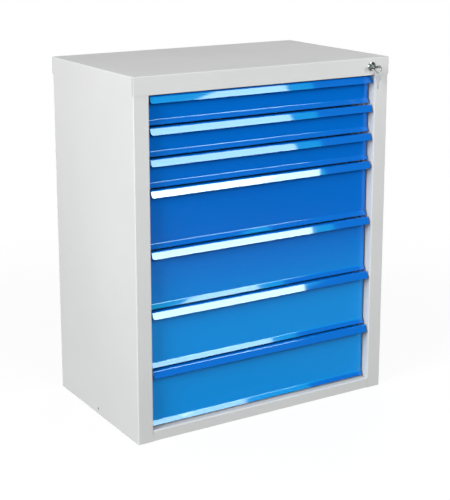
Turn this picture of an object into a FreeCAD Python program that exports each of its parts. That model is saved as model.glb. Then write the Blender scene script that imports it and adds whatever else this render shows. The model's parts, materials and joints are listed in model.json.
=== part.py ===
import FreeCAD, Part
import math
import os
import types

import Sketcher

# A free-standing steel cabinet with seven drawers on telescopic slides and one lock for all of
# them. X runs to the right as one looks at the drawers, Y to the rear, Z up. The origin is the
# middle of the underside. All lengths are in millimetres.

# Driving dimensions
SIZES = {
    # casing
    "cabinet_width": 660.0,
    "cabinet_depth": 400.0,
    "cabinet_height": 800.0,
    "sheet": 1.2,
    "bend": 1.2,
    "cover_play": 0.3,
    "skirt_height": 40.0,
    "corner_slit": 2.4,
    "fascia_return": 15.0,
    "fascia_play": 0.5,
    "stile_width": 36.5,
    "return_depth": 28.0,
    "rear_flange": 20.0,
    "link_hole_radius": 3.5,
    "link_hole_height": 12.0,
    # base
    "rail_height": 25.0,
    "rail_lift": 1.0,
    "rail_depth": 36.0,
    "pan_setback": 29.0,
    # posts that carry the slides
    "post_inset": 13.3,
    "post_lap_start": 4.0,
    "post_start": 36.0,
    "post_width": 34.0,
    "post_foot": 20.0,
    "rear_post_start": 326.0,
    "slot_width": 3.0,
    "slot_height": 11.0,
    "front_slot_place": 53.0,
    "rear_slot_place": 343.0,
    # rivets through the stiles and the front posts
    "rivet_set": 10.0,
    "rivet_first": 47.5,
    "rivet_last": 38.1,
    "rivet_shank": 2.0,
    "rivet_hole": 2.1,
    "rivet_head": 3.5,
    "rivet_head_height": 1.2,
    "rivet_slope": 0.9,
    "rivet_tail": 2.8,
    "rivet_tail_height": 1.0,
    # drawer fronts
    "top_gap": 3.2,
    "front_gap": 4.0,
    "rail_gap": 4.3,
    "side_gap": 4.5,
    "front_sheet": 1.0,
    "front_bend": 1.5,
    "panel_setback": 20.0,
    "flange_setback": 7.5,
    "lip_setback": 0.5,
    "lip_drop": 15.5,
    "lip_corner": 5.0,
    "strip_setback": 13.3,
    "strip_height": 10.0,
    "cheek_depth": 12.0,
    "weld_gap": 0.1,
    "cheek_inset": 4.0,
    "catch_setback": 31.0,
    "catch_width": 3.3,
    "catch_height": 7.0,
    "catch_lift": 24.0,
    # drawer trays
    "tray_sheet": 1.0,
    "tray_bend": 1.0,
    "tray_lift": 5.0,
    "tray_drop": 9.5,
    "tray_hem": 8.0,
    # telescopic slides
    "slide_thickness": 12.7,
    "slide_height": 45.0,
    "slide_length": 350.0,
    "slide_lift": 29.0,
    "slide_sheet": 1.2,
    "slide_play": 0.35,
    "outer_setback": 26.0,
    "outer_reach": 10.5,
    "outer_lip": 3.5,
    "middle_setback": 28.0,
    "middle_length": 340.0,
    "middle_stand_off": 2.0,
    "middle_lip": 2.0,
    "inner_setback": 24.0,
    "inner_length": 345.0,
    "inner_reach": 8.5,
    "inner_lip": 2.0,
    "hook_width": 2.4,
    "hook_height": 5.0,
    "hook_drop": 3.0,
    # lock
    "lock_side": 50.5,
    "lock_drop": 20.0,
    "lock_face_radius": 11.0,
    "lock_face_height": 2.5,
    "lock_face_slope": 1.2,
    "lock_barrel_radius": 9.0,
    "lock_hole_radius": 9.2,
    "lock_barrel_end": 20.0,
    "nut_width": 22.0,
    "nut_height": 4.0,
    "plug_radius": 6.0,
    "plug_play": 0.1,
    "plug_proud": 0.5,
    "plug_tail": 3.0,
    "tail_play": 0.1,
    "cam_play": 0.5,
    "cam_sheet": 2.0,
    "cam_radius": 8.0,
    "pin_radius": 1.5,
    "pin_length": 6.0,
    "pin_play": 0.35,
    "bar_travel": 8.0,
    "bar_sheet": 1.5,
    "bar_width": 8.0,
    "bar_setback": 25.0,
    "bar_foot": 45.0,
    "bar_head_width": 13.0,
    "bar_head_height": 30.0,
    "bar_head_lap": 8.0,
    "bar_head_inset": 1.5,
    "tooth_setback": 28.0,
    "tooth_reach": 3.5,
    "tooth_height": 8.0,
    "tooth_play": 1.0,
    "guide_wall": 1.3,
    "guide_play": 0.3,
    "guide_height": 12.0,
    "guide_lift": 52.0,
    # keys
    "key_sheet": 2.0,
    "key_play": 0.2,
    "blade_width": 8.0,
    "blade_length": 20.0,
    "tip_length": 3.0,
    "shoulder": 1.5,
    "bow_width": 23.0,
    "bow_length": 19.0,
    "bow_corner": 7.0,
    "bow_slot_width": 8.0,
    "bow_slot_edge": 2.0,
    "bow_slot_place": 8.0,
    "ring_radius": 9.0,
    "ring_wire": 1.8,
    "ring_play": 0.5,
    "spare_width": 18.0,
    "spare_bow": 22.0,
    "spare_corner": 6.0,
    "spare_hole": 2.5,
    "spare_rim": 2.6,
    "spare_neck": 5.0,
    "spare_blade": 20.0,
}

# Heights of the drawers in units, from the top one down
DRAWER_UNITS = (1, 1, 1, 2, 2, 2, 2)
# Units, counted from the bottom one, whose upper part carries a guide of the lock bar
GUIDE_UNITS = (0, 4, 9)
RIVET_COUNT = 5
# How near an edge must lie to a named corner to be taken for it
CORNER_REACH = 0.001


class Size:
    """A length or ratio with the expression that ties it to the sheet of sizes."""

    def __init__(self, value, text):
        self.value = value
        self.text = text

    def joined(self, other, sign, value):
        return Size(value, "(%s %s %s)" % (self.text, sign, other.text))

    def __add__(self, other):
        other = sized(other)
        return self.joined(other, "+", self.value + other.value)

    def __sub__(self, other):
        other = sized(other)
        return self.joined(other, "-", self.value - other.value)

    def __mul__(self, other):
        other = sized(other)
        return self.joined(other, "*", self.value * other.value)

    def __truediv__(self, other):
        other = sized(other)
        return self.joined(other, "/", self.value / other.value)

    def __radd__(self, other):
        return sized(other) + self

    def __rsub__(self, other):
        return sized(other) - self

    def __rmul__(self, other):
        return sized(other) * self

    def __neg__(self):
        return sized(0) - self

    def root(self):
        return Size(math.sqrt(self.value), "sqrt(%s)" % self.text)


def sized(number):
    return number if isinstance(number, Size) else Size(number, repr(number))


doc = FreeCAD.newDocument("drawer_cabinet")
sheet_of_sizes = doc.addObject("Spreadsheet::Sheet", "sizes")
for row, (alias, value) in enumerate(SIZES.items(), 1):
    sheet_of_sizes.set("A%d" % row, alias)
    sheet_of_sizes.set("B%d" % row, str(value))
    sheet_of_sizes.setAlias("B%d" % row, alias)
doc.recompute()
s = types.SimpleNamespace(**{alias: Size(value, "sizes." + alias) for alias, value in SIZES.items()})

# Each view plane: its name in a body, and which axes run along its sketch's own two directions
PLANES = {"plan": ("XY_Plane", 0, 1), "front": ("XZ_Plane", 0, 2), "side": ("YZ_Plane", 1, 2)}
sub_parts = []


def new_body(label):
    body = doc.addObject("PartDesign::Body", label)
    body.Label = label
    sub_parts.append(body)
    return body


def hold(sketch, geometry, position, point):
    """Fixes one point of a sketch by its two distances from the sketch's origin."""
    for kind, distance in zip(("DistanceX", "DistanceY"), point):
        number = sketch.addConstraint(Sketcher.Constraint(kind, geometry, position, distance.value))
        sketch.setExpression("Constraints[%d]" % number, distance.text)


def draw(body, plane, at, outlines=(), circles=()):
    """A sketch on a view plane of the body, moved along that plane's normal by at.

    An outline is a closed run of corners, each a pair of sizes, and a circle is its middle's pair
    and its radius. The normals are +Z for plan, -Y for front and +X for side.
    """
    role = PLANES[plane][0]
    sketch = body.newObject("Sketcher::SketchObject", body.Label + "_sketch")
    support = [item for item in body.Origin.OriginFeatures if item.Role == role]
    sketch.AttachmentSupport = [(support[0], "")]
    sketch.MapMode = "FlatFace"
    sketch.setExpression("AttachmentOffset.Base.z", sized(at).text)
    for outline in outlines:
        corners = [(sized(across), sized(along)) for across, along in outline]
        points = [FreeCAD.Vector(across.value, along.value, 0) for across, along in corners]
        first = sketch.GeometryCount
        for start, end in zip(points, points[1:] + points[:1]):
            sketch.addGeometry(Part.LineSegment(start, end))
        for number, corner in enumerate(corners):
            following = first + (number + 1) % len(corners)
            sketch.addConstraint(Sketcher.Constraint("Coincident", first + number, 2, following, 1))
            hold(sketch, first + number, 1, corner)
    for middle, radius in circles:
        middle = (sized(middle[0]), sized(middle[1]))
        place = FreeCAD.Vector(middle[0].value, middle[1].value, 0)
        normal = FreeCAD.Vector(0, 0, 1)
        number = sketch.addGeometry(Part.Circle(place, normal, radius.value))
        hold(sketch, number, 3, middle)
        bound = sketch.addConstraint(Sketcher.Constraint("Radius", number, radius.value))
        sketch.setExpression("Constraints[%d]" % bound, radius.text)
    return sketch


def checked(body, feature, adds):
    """Recomputes a feature and makes sure that it added or took away material as meant."""
    body.Tip = feature
    doc.recompute()
    before = feature.BaseFeature.Shape.Volume if feature.BaseFeature else 0
    after = feature.Shape.Volume
    if (adds and after <= before) or (not adds and after >= before):
        raise RuntimeError("%s of %s changed nothing" % (feature.Name, body.Label))
    return feature


def pad(body, sketch, length, both_ways=False, backwards=False):
    feature = body.newObject("PartDesign::Pad", body.Label + "_pad")
    feature.Profile = sketch
    feature.setExpression("Length", length.text)
    feature.SideType = "Symmetric" if both_ways else "One side"
    feature.Reversed = backwards
    return checked(body, feature, True)


def pocket(body, sketch, length, backwards=False):
    """Cuts against the sketch's normal, or along it where backwards is set."""
    feature = body.newObject("PartDesign::Pocket", body.Label + "_pocket")
    feature.Profile = sketch
    feature.setExpression("Length", length.text)
    feature.Reversed = backwards
    return checked(body, feature, False)


def turn(body, sketch, start, end):
    """Turns the sketch's outlines once round the line from start to end."""
    points = [FreeCAD.Vector(across.value, along.value, 0) for across, along in (start, end)]
    axis = sketch.addGeometry(Part.LineSegment(*points), True)
    hold(sketch, axis, 1, start)
    hold(sketch, axis, 2, end)
    feature = body.newObject("PartDesign::Revolution", body.Label + "_turn")
    feature.Profile = sketch
    feature.ReferenceAxis = (sketch, ["Axis0"])
    return checked(body, feature, True)


def column(body, features, pitch, count, adds):
    """Repeats features upwards at an even pitch."""
    pattern = body.newObject("PartDesign::LinearPattern", body.Label + "_column")
    pattern.Originals = features
    upright = [item for item in body.Origin.OriginFeatures if item.Role == "Z_Axis"]
    pattern.Direction = (upright[0], [""])
    pattern.setExpression("Length", (pitch * (count - 1)).text)
    pattern.Occurrences = count
    return checked(body, pattern, adds)


def near(length, size):
    return abs(length - sized(size).value) < CORNER_REACH


def round_where(body, fits, radius):
    """Rounds every edge of the body whose end points fit."""
    base = body.Tip
    names = []
    for number, edge in enumerate(base.Shape.Edges, 1):
        if fits([vertex.Point for vertex in edge.Vertexes]):
            names.append("Edge%d" % number)
    feature = body.newObject("PartDesign::Fillet", body.Label + "_round")
    feature.Base = (base, names)
    feature.setExpression("Radius", radius.text)
    body.Tip = feature
    doc.recompute()
    if not names or feature.Shape.isNull() or not feature.Shape.isValid():
        raise RuntimeError("%s of %s has no sound rounds" % (feature.Name, body.Label))
    return feature


def rounded(body, plane, corners, radius):
    """Rounds the edges of the body that stand square on a view plane at the given corners."""
    across, along = PLANES[plane][1:]

    def stands(ends, corner):
        return all(near(end[across], corner[0]) and near(end[along], corner[1]) for end in ends)

    def fits(ends):
        return len(ends) == 2 and any(stands(ends, corner) for corner in corners)

    return round_where(body, fits, radius)


def box(low, high):
    """The four corners of an upright rectangle."""
    return [low, (high[0], low[1]), high, (low[0], high[1])]


# Planes that several pieces share
side_x = s.cabinet_width / 2 - s.sheet - s.cover_play
inner_x = side_x - s.sheet
front_y = -(s.cabinet_depth / 2 - s.sheet - s.cover_play)
rear_y = -front_y
back_y = rear_y - 2 * s.sheet
under_cover_z = s.cabinet_height - s.sheet
skirt_z = s.cabinet_height - s.skirt_height
opening_x = side_x - s.stile_width
post_x = opening_x - s.post_inset
outer_bend = s.bend + s.sheet

# The drawers share the opening's height in whole units, and the rivets the stiles' height
stack_z = s.rail_height + s.rail_gap
unit_pitch = (skirt_z - s.top_gap + s.front_gap - stack_z) / sum(DRAWER_UNITS)
rivet_pitch = (skirt_z - s.rivet_last - s.rivet_first) / (RIVET_COUNT - 1)


def behind(setback):
    """The Y of a place that lies this far behind the stiles' front face."""
    return front_y + setback


# Side panels, each folded with its stile, the stile's return and a rear flange

def make_side_panel(side, label):
    body = new_body(label)
    outer = side * side_x
    inner = side * inner_x
    mouth = side * opening_x
    mouth_inner = side * (opening_x + s.sheet)
    lap = side * (side_x - s.rear_flange)
    sketch = draw(body, "plan", 0, [[
        (mouth, behind(s.return_depth)),
        (mouth, front_y),
        (outer, front_y),
        (outer, rear_y),
        (lap, rear_y),
        (lap, rear_y - s.sheet),
        (inner, rear_y - s.sheet),
        (inner, behind(s.sheet)),
        (mouth_inner, behind(s.sheet)),
        (mouth_inner, behind(s.return_depth)),
    ]])
    pad(body, sketch, under_cover_z - s.bend)
    outside = [(mouth, front_y), (outer, front_y), (outer, rear_y)]
    inside = [(mouth_inner, behind(s.sheet)), (inner, behind(s.sheet)), (inner, rear_y - s.sheet)]
    rounded(body, "plan", outside, outer_bend)
    rounded(body, "plan", inside, s.bend)
    hole = draw(body, "side", outer, circles=[((0, s.link_hole_height), s.link_hole_radius)])
    pocket(body, hole, s.sheet, backwards=side < 0)
    place = (behind(s.rivet_set), s.rivet_first)
    holes = draw(body, "side", mouth_inner, circles=[(place, s.rivet_hole)])
    first = pocket(body, holes, s.sheet, backwards=side < 0)
    column(body, [first], rivet_pitch, RIVET_COUNT, adds=False)


# Top cover: a cap with a skirt all round, open slits at its corners and a return under its fascia

def along_width(ends, corners):
    """Whether an edge runs along the cabinet's width at one of the corners of the side view."""
    return any(all(near(end.y, y) and near(end.z, z) for end in ends) for y, z in corners)


def make_top_cover():
    body = new_body("top_cover")
    half_x = s.cabinet_width / 2
    half_y = s.cabinet_depth / 2
    block = draw(body, "plan", skirt_z, [box((-half_x, -half_y), (half_x, half_y))])
    pad(body, block, s.skirt_height)
    top = s.cabinet_height
    rounded(body, "front", [(-half_x, top), (half_x, top)], outer_bend)
    ends_meet = [(-half_y, top), (half_y, top)]
    round_where(body, lambda ends: along_width(ends, ends_meet), outer_bend)
    hollow_x = half_x - s.sheet
    hollow_y = half_y - s.sheet
    hollow = draw(body, "plan", skirt_z, [box((-hollow_x, -hollow_y), (hollow_x, hollow_y))])
    pocket(body, hollow, s.skirt_height - s.sheet, backwards=True)
    slits = []
    for side in (-1, 1):
        for end in (-1, 1):
            outside = (side * half_x, end * hollow_y)
            inside = (side * hollow_x, end * (hollow_y - s.corner_slit))
            slits.append(box(outside, inside))
    pocket(body, draw(body, "plan", skirt_z, slits), s.skirt_height - outer_bend, backwards=True)
    reach = behind(s.fascia_return)
    fold = draw(body, "side", 0, [box((-half_y, skirt_z), (reach, skirt_z + s.sheet))])
    pad(body, fold, 2 * (opening_x - s.fascia_play), both_ways=True)
    hole = draw(body, "front", half_y, circles=[((lock_x, lock_z), s.lock_hole_radius)])
    pocket(body, hole, s.sheet)


# Back panel, held between the rear flanges and the base pan

def make_back_panel():
    body = new_body("back_panel")
    edge_x = inner_x - s.bend
    sheet = draw(body, "plan", 0, [box((-edge_x, back_y), (edge_x, rear_y - s.sheet))])
    pad(body, sheet, under_cover_z)


# Base: a floor pan with an upstand along each side, and the rail across the front

def make_base_pan():
    body = new_body("base_pan")
    inside_x = inner_x - s.sheet
    section = draw(body, "front", -back_y, [[
        (-inner_x, 0),
        (inner_x, 0),
        (inner_x, s.rail_height),
        (inside_x, s.rail_height),
        (inside_x, s.sheet),
        (-inside_x, s.sheet),
        (-inside_x, s.rail_height),
        (-inner_x, s.rail_height),
    ]])
    pad(body, section, back_y - behind(s.pan_setback))
    rounded(body, "front", [(-inside_x, s.sheet), (inside_x, s.sheet)], s.bend)
    for side in (-1, 1):
        outer = side * inner_x
        hole = draw(body, "side", outer, circles=[((0, s.link_hole_height), s.link_hole_radius)])
        pocket(body, hole, s.sheet, backwards=side < 0)


def make_bottom_rail():
    body = new_body("bottom_rail")
    rear = behind(s.rail_depth)
    section = draw(body, "side", 0, [[
        (front_y, s.rail_lift),
        (front_y, s.rail_height),
        (rear, s.rail_height),
        (rear, s.sheet),
        (rear - s.sheet, s.sheet),
        (rear - s.sheet, s.rail_height - s.sheet),
        (front_y + s.sheet, s.rail_height - s.sheet),
        (front_y + s.sheet, s.rail_lift),
    ]])
    pad(body, section, 2 * opening_x, both_ways=True)
    rounded(body, "side", [(front_y, s.rail_height), (rear, s.rail_height)], outer_bend)


# Posts that carry the slides: the front one is riveted behind the stile's return

def make_front_post(side, label):
    body = new_body(label)
    face = side * post_x
    face_back = side * (post_x + s.sheet)
    lap = side * (opening_x + s.sheet)
    lap_back = side * (opening_x + 2 * s.sheet)
    wall = side * inner_x
    wall_face = side * (inner_x - s.sheet)
    start = behind(s.post_start)
    end = start + s.post_width
    foot = end + s.post_foot
    sketch = draw(body, "plan", s.rail_height, [[
        (lap, behind(s.post_lap_start)),
        (lap, start),
        (face, start),
        (face, end),
        (wall_face, end),
        (wall_face, foot),
        (wall, foot),
        (wall, end - s.sheet),
        (face_back, end - s.sheet),
        (face_back, start + s.sheet),
        (lap_back, start + s.sheet),
        (lap_back, behind(s.post_lap_start)),
    ]])
    pad(body, sketch, under_cover_z - s.rail_height)
    rounded(body, "plan", [(face, start), (face, end)], outer_bend)
    rounded(body, "plan", [(face_back, start + s.sheet), (face_back, end - s.sheet)], s.bend)
    cut_hook_slots(body, side, s.front_slot_place)
    place = (behind(s.rivet_set), s.rivet_first)
    holes = draw(body, "side", lap_back, circles=[(place, s.rivet_hole)])
    first = pocket(body, holes, s.sheet, backwards=side < 0)
    column(body, [first], rivet_pitch, RIVET_COUNT, adds=False)


def make_rear_post(side, label):
    body = new_body(label)
    face = side * post_x
    face_back = side * (post_x + s.sheet)
    wall = side * inner_x
    wall_face = side * (inner_x - s.sheet)
    start = behind(s.rear_post_start)
    end = start + s.post_width
    sketch = draw(body, "plan", s.rail_height, [[
        (wall_face, start - s.post_foot),
        (wall_face, start),
        (face, start),
        (face, end),
        (wall_face, end),
        (wall_face, end + s.post_foot),
        (wall, end + s.post_foot),
        (wall, end - s.sheet),
        (face_back, end - s.sheet),
        (face_back, start + s.sheet),
        (wall, start + s.sheet),
        (wall, start - s.post_foot),
    ]])
    pad(body, sketch, under_cover_z - s.rail_height)
    rounded(body, "plan", [(face, start), (face, end)], outer_bend)
    rounded(body, "plan", [(face_back, start + s.sheet), (face_back, end - s.sheet)], s.bend)
    cut_hook_slots(body, side, s.rear_slot_place)


def cut_hook_slots(body, side, place):
    """One slot a unit in the face that the slides hang on."""
    low_z = stack_z + s.slide_lift - s.hook_height / 2
    low_y = behind(place) - s.slot_width / 2
    slot = box((low_y, low_z), (low_y + s.slot_width, low_z + s.slot_height))
    sketch = draw(body, "side", side * (post_x + s.sheet), [slot])
    first = pocket(body, sketch, s.sheet, backwards=side < 0)
    column(body, [first], unit_pitch, sum(DRAWER_UNITS), adds=False)


def make_frame_rivets():
    """Blind rivets, a left and a right one in line on each level."""
    body = new_body("frame_rivets")
    axis_y = behind(s.rivet_set)
    head_x = opening_x - s.rivet_head_height
    tail_x = opening_x + 2 * s.sheet
    end_x = tail_x + s.rivet_tail_height
    profiles = []
    for side in (-1, 1):
        profiles.append([
            (side * head_x, axis_y),
            (side * end_x, axis_y),
            (side * end_x, axis_y - s.rivet_tail),
            (side * tail_x, axis_y - s.rivet_tail),
            (side * tail_x, axis_y - s.rivet_shank),
            (side * opening_x, axis_y - s.rivet_shank),
            (side * opening_x, axis_y - s.rivet_head),
            (side * (opening_x - s.rivet_head_height / 3), axis_y - s.rivet_head),
            (side * head_x, axis_y - s.rivet_head + s.rivet_slope),
        ])
    sketch = draw(body, "plan", s.rivet_first, profiles)
    first = turn(body, sketch, (-head_x, axis_y), (head_x, axis_y))
    column(body, [first], rivet_pitch, RIVET_COUNT, adds=True)


# Drawer fronts: one folded sheet with a finger lip above and a leaning strip below

front_x = opening_x - s.side_gap


def make_drawer_front(label, bottom, height):
    body = new_body(label)
    top = bottom + height
    panel = behind(s.panel_setback)
    lean = (s.panel_setback - s.strip_setback) / s.strip_height
    slope = (s.flange_setback - s.lip_setback) / s.lip_drop
    strip_across = s.front_sheet * (1 + lean * lean).root()
    lip_across = s.front_sheet * (1 + slope * slope).root()
    fold = bottom + s.strip_height
    back_fold = fold - (strip_across - s.front_sheet) / lean
    lip_low = top - s.lip_drop
    nose = behind(s.flange_setback)
    nose_inner = (nose + lip_across - slope * s.front_sheet, top - s.front_sheet)
    under_flange = (panel, top - s.front_sheet)
    top_rear = (panel + s.front_sheet, top)
    section = draw(body, "side", 0, [[
        (behind(s.strip_setback), bottom),
        (panel, fold),
        under_flange,
        nose_inner,
        (behind(s.lip_setback) + lip_across, lip_low),
        (behind(s.lip_setback), lip_low),
        (nose, top),
        top_rear,
        (panel + s.front_sheet, back_fold),
        (behind(s.strip_setback) + strip_across, bottom),
    ]])
    pad(body, section, 2 * front_x, both_ways=True)
    rounded(body, "side", [(nose, top), top_rear], s.front_bend + s.front_sheet)
    rounded(body, "side", [nose_inner, under_flange, (panel, fold)], s.front_bend)
    waste = draw_waste(body, front_y, lip_low, s.lip_corner)
    pocket(body, waste, s.flange_setback)
    add_cheeks(body, bottom, top)


def draw_waste(body, at_y, low, radius):
    """What is cut from both lower corners of a front to leave them round."""
    sketch = draw(body, "front", -at_y)
    for side in (-1, 1):
        foot = (side * front_x, low + radius)
        corner = (side * front_x, low)
        toe = (side * (front_x - radius), low)
        points = [FreeCAD.Vector(x.value, z.value, 0) for x, z in (foot, corner, toe)]
        upright = sketch.addGeometry(Part.LineSegment(points[0], points[1]))
        level = sketch.addGeometry(Part.LineSegment(points[1], points[2]))
        middle = FreeCAD.Vector(points[2].x, points[0].y, 0)
        circle = Part.Circle(middle, FreeCAD.Vector(0, 0, 1), radius.value)
        turn = (-math.pi / 2, 0) if side > 0 else (math.pi, 3 * math.pi / 2)
        arc = sketch.addGeometry(Part.ArcOfCircle(circle, *turn))
        toe_end, foot_end = (1, 2) if side > 0 else (2, 1)
        sketch.addConstraint(Sketcher.Constraint("Coincident", upright, 2, level, 1))
        sketch.addConstraint(Sketcher.Constraint("Coincident", level, 2, arc, toe_end))
        sketch.addConstraint(Sketcher.Constraint("Coincident", upright, 1, arc, foot_end))
        hold(sketch, upright, 1, foot)
        hold(sketch, level, 1, corner)
        hold(sketch, level, 2, toe)
        bound = sketch.addConstraint(Sketcher.Constraint("Radius", arc, radius.value))
        sketch.setExpression("Constraints[%d]" % bound, radius.text)
    return sketch


def add_cheeks(body, bottom, top):
    """Side flanges spot-welded behind the panel's ends, and the catch on the right one."""
    panel = behind(s.panel_setback)
    rear = panel + s.front_sheet + s.cheek_depth
    low = bottom + s.strip_height + s.cheek_inset
    high = top - s.front_sheet - s.cheek_inset
    for side in (-1, 1):
        outline = box((panel + s.front_sheet + s.weld_gap, low), (rear, high))
        cheek = draw(body, "side", side * front_x, [outline])
        pad(body, cheek, s.front_sheet, backwards=side > 0)
    catch_y = behind(s.catch_setback)
    catch_low = bottom + s.catch_lift
    catch = box((catch_y, catch_low), (catch_y + s.front_sheet, catch_low + s.catch_height))
    sketch = draw(body, "side", front_x - s.front_sheet - s.weld_gap, [catch])
    pad(body, sketch, s.catch_width, backwards=True)


# Drawer trays: a folded trough with hems along its top, closed by a front and a rear wall

tray_x = post_x - s.slide_thickness


def make_drawer_tray(label, bottom, height):
    body = new_body(label)
    low = bottom + s.tray_lift
    top = bottom + height - s.tray_drop
    hem = tray_x - s.tray_hem
    wall = tray_x - s.tray_sheet
    floor = low + s.tray_sheet
    under_hem = top - s.tray_sheet
    start = behind(s.panel_setback + s.front_sheet)
    end = start + s.slide_length
    trough = draw(body, "front", -end, [[
        (-hem, top),
        (-tray_x, top),
        (-tray_x, low),
        (tray_x, low),
        (tray_x, top),
        (hem, top),
        (hem, under_hem),
        (wall, under_hem),
        (wall, floor),
        (-wall, floor),
        (-wall, under_hem),
        (-hem, under_hem),
    ]])
    pad(body, trough, s.slide_length)
    outside = [(-tray_x, top), (-tray_x, low), (tray_x, low), (tray_x, top)]
    rounded(body, "front", outside, s.tray_bend + s.tray_sheet)
    rounded(body, "front", [(-wall, floor), (wall, floor)], s.tray_bend)
    for wall_end in (end, start + s.tray_sheet):
        outline = box((-wall, floor), (wall, top - s.tray_bend - s.tray_sheet))
        pad(body, draw(body, "front", -wall_end, [outline]), s.tray_sheet)


# Telescopic slides: three nested channels a side, drawn together as left and right

def both_sides(section):
    """The section on the right, given as depth from the post and height, and its mirror."""
    right = [(post_x - depth, height) for depth, height in section]
    left = [(-(post_x - depth), height) for depth, height in section]
    return [right, left]


def channel(web, web_end, reach, outside, lip, middle):
    """A channel of the slide's sheet thickness whose two flange ends turn in by lip.

    The web lies between the depths web and web_end, the flanges reach to the depth reach, and
    outside is half of the channel's height. The flanges point from the web towards reach.
    """
    inside = outside - s.slide_sheet
    towards = 1 if reach.value > web.value else -1
    lip_start = reach - towards * s.slide_sheet
    back = web if towards > 0 else web_end
    face = web_end if towards > 0 else web
    return [
        (back, middle - outside),
        (reach, middle - outside),
        (reach, middle - outside + lip),
        (lip_start, middle - outside + lip),
        (lip_start, middle - inside),
        (face, middle - inside),
        (face, middle + inside),
        (lip_start, middle + inside),
        (lip_start, middle + outside - lip),
        (reach, middle + outside - lip),
        (reach, middle + outside),
        (back, middle + outside),
    ]


def make_outer_rails(label, middle):
    body = new_body(label)
    end = behind(s.outer_setback) + s.slide_length
    half = s.slide_height / 2
    section = channel(sized(0), s.slide_sheet, s.outer_reach, half, s.outer_lip, middle)
    pad(body, draw(body, "front", -end, both_sides(section)), s.slide_length)
    hook_low = middle - s.hook_height / 2
    hook_top = middle + s.hook_height / 2
    past = s.sheet + s.key_play
    hook = [
        (s.slide_sheet / 2, hook_low),
        (-past, hook_low),
        (-past, hook_low - s.hook_drop),
        (-past - s.slide_sheet, hook_low - s.hook_drop),
        (-past - s.slide_sheet, hook_top),
        (s.slide_sheet / 2, hook_top),
    ]
    for place in (s.front_slot_place, s.rear_slot_place):
        hook_end = behind(place) + s.hook_width / 2
        pad(body, draw(body, "front", -hook_end, both_sides(hook)), s.hook_width)


def make_middle_rails(label, middle):
    body = new_body(label)
    end = behind(s.middle_setback) + s.middle_length
    half = s.slide_height / 2 - s.slide_sheet - s.slide_play
    reach = s.outer_reach - s.slide_sheet - s.slide_play
    web = s.middle_stand_off
    section = channel(web, web + s.slide_sheet, reach, half, s.middle_lip, middle)
    pad(body, draw(body, "front", -end, both_sides(section)), s.middle_length)


def make_inner_rails(label, middle):
    body = new_body(label)
    end = behind(s.inner_setback) + s.inner_length
    middle_half = s.slide_height / 2 - s.slide_sheet - s.slide_play
    half = middle_half - s.middle_lip - s.slide_play
    web_end = s.slide_thickness
    reach = s.slide_thickness - s.inner_reach
    lip_top = half + s.inner_lip - s.slide_sheet
    lip_start = reach + s.slide_sheet
    inside = half - s.slide_sheet
    face = web_end - s.slide_sheet
    section = [
        (web_end, middle - half),
        (lip_start, middle - half),
        (lip_start, middle - lip_top),
        (reach, middle - lip_top),
        (reach, middle - inside),
        (face, middle - inside),
        (face, middle + inside),
        (reach, middle + inside),
        (reach, middle + lip_top),
        (lip_start, middle + lip_top),
        (lip_start, middle + half),
        (web_end, middle + half),
    ]
    pad(body, draw(body, "front", -end, both_sides(section)), s.inner_length)


# Lock: a barrel through the fascia, its plug with the cam, and the bar that the cam moves

lock_x = s.cabinet_width / 2 - s.lock_side
lock_z = s.cabinet_height - s.lock_drop
fascia_y = -s.cabinet_depth / 2
fascia_back_y = fascia_y + s.sheet
barrel_end_y = behind(s.lock_barrel_end)
cam_y = barrel_end_y + s.cam_play
pin_offset = s.bar_travel / 2
keyway_half_x = s.blade_width / 2 + s.key_play
keyway_half_z = s.key_sheet / 2 + s.key_play


def make_lock_housing():
    body = new_body("lock_housing")
    bore_x = lock_x + s.plug_radius + s.plug_play
    rim_x = lock_x + s.lock_face_radius
    barrel_x = lock_x + s.lock_barrel_radius
    face_y = fascia_y - s.lock_face_height
    section = draw(body, "plan", lock_z, [[
        (bore_x, face_y),
        (rim_x - s.lock_face_slope, face_y),
        (rim_x, face_y + s.lock_face_slope),
        (rim_x, fascia_y),
        (barrel_x, fascia_y),
        (barrel_x, barrel_end_y),
        (bore_x, barrel_end_y),
    ]])
    turn(body, section, (lock_x, barrel_end_y), (lock_x, face_y))


def make_lock_nut():
    body = new_body("lock_nut")
    corner = s.nut_width / 2 / sized(0.75).root()
    half = s.nut_width / 2
    outline = [
        (lock_x, lock_z - corner),
        (lock_x + half, lock_z - corner / 2),
        (lock_x + half, lock_z + corner / 2),
        (lock_x, lock_z + corner),
        (lock_x - half, lock_z + corner / 2),
        (lock_x - half, lock_z - corner / 2),
    ]
    rear = fascia_back_y + s.nut_height
    pad(body, draw(body, "front", -rear, [outline]), s.nut_height)
    bore = draw(body, "front", -rear, circles=[((lock_x, lock_z), s.lock_hole_radius)])
    pocket(body, bore, s.nut_height, backwards=True)


def make_lock_plug():
    body = new_body("lock_plug")
    middle = (lock_x, lock_z)
    face_y = fascia_y - s.lock_face_height - s.plug_proud
    barrel = draw(body, "front", -barrel_end_y, circles=[(middle, s.plug_radius)])
    pad(body, barrel, barrel_end_y - face_y)
    tail_end = cam_y + s.cam_sheet
    half = s.plug_tail
    tail = box((lock_x - half, lock_z - half), (lock_x + half, lock_z + half))
    pad(body, draw(body, "front", -tail_end, [tail]), tail_end - barrel_end_y)
    keyway = box(
        (lock_x - keyway_half_x, lock_z - keyway_half_z),
        (lock_x + keyway_half_x, lock_z + keyway_half_z),
    )
    depth = s.blade_length + s.key_play
    pocket(body, draw(body, "front", -face_y, [keyway]), depth)


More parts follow.
